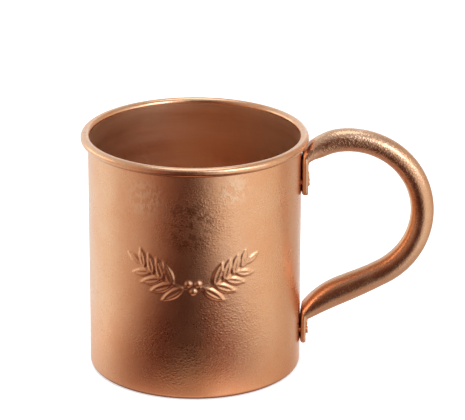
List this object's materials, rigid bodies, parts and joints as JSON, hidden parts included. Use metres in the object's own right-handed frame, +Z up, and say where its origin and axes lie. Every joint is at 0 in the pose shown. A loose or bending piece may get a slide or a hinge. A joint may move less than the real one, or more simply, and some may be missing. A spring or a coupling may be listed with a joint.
{
  "type": "mug",
  "caption": "Straight-sided copper mug with a curled rim and a looped tube handle whose flattened ends are riveted to the wall.",
  "frame": {"origin": "centre of the flat base, on the surface that the mug stands on", "axes": "+Z up along the cup's axis, +X out through the middle of the handle, +Y completes a right-handed frame; the XZ plane is the mug's mirror plane"},
  "size_m": [0.1328, 0.0854, 0.0933],
  "materials": {
    "copper_cup": "satin bare copper with a fine pebbled mist of condensation",
    "copper_handle": "satin drawn copper tube, lightly brushed",
    "copper_rivet": "satin copper, rubbed bright on the head"
  },
  "bodies": {
    "root": {"mug_body": "copper_cup", "handle": "copper_handle", "upper_rivet_left": "copper_rivet", "upper_rivet_right": "copper_rivet", "lower_rivet_left": "copper_rivet", "lower_rivet_right": "copper_rivet"}
  },
  "joints": []
}
